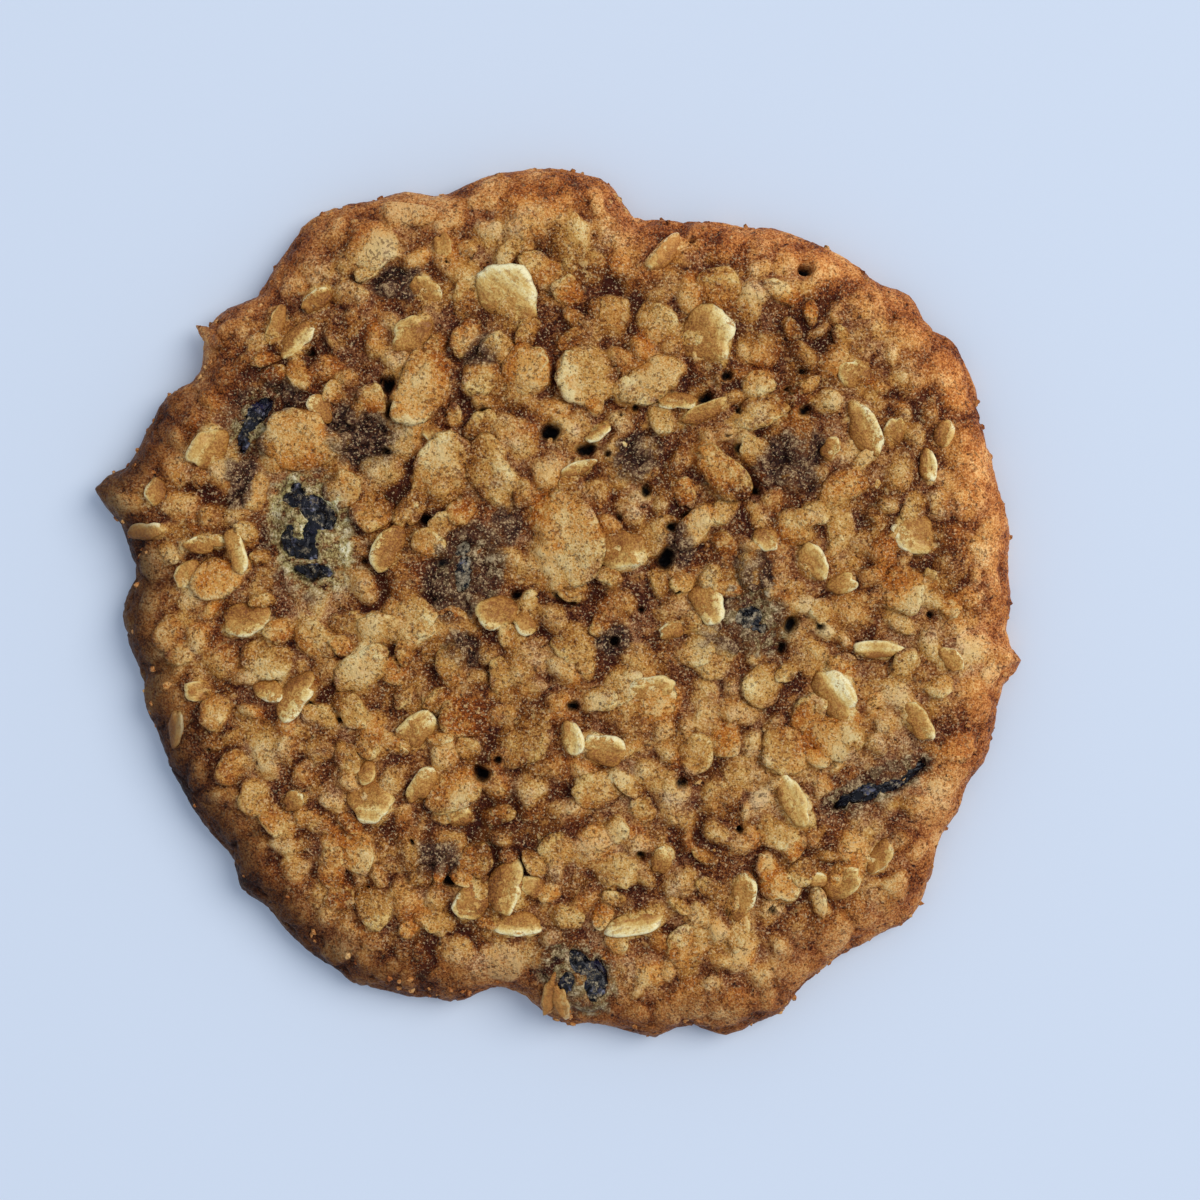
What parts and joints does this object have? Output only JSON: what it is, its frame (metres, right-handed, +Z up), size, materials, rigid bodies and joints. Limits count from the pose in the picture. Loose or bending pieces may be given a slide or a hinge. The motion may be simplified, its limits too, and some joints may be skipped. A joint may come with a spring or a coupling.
{
  "type": "oatmeal raisin cookie",
  "caption": "Wide, thin oatmeal raisin cookie with a lobed crumbly edge, a lumpy oat crust and raisins set in its top.",
  "frame": {"origin": "middle of the cookie's footprint, on its flat base", "axes": "+Z up out of the crust, +X along the cookie's widest direction, +Y across it towards the top lobe"},
  "size_m": [0.1116, 0.1046, 0.0109],
  "materials": {
    "baked_dough": "crumbly baked oat dough, golden on the lumps and red-brown at the rim",
    "oat_flake": "rolled oat, cream to toasted gold, satin",
    "raisin_skin": "wrinkled blue-black raisin skin, slightly glossy"
  },
  "bodies": {
    "root": {"cookie": "baked_dough", "raisin_torn_skin": "raisin_skin", "raisin_on_edge": "raisin_skin", "raisin_by_notch": "raisin_skin", "raisin_in_hollow": "raisin_skin", "raisin_flat": "raisin_skin", "raisin_by_lump": "raisin_skin"}
  },
  "joints": []
}
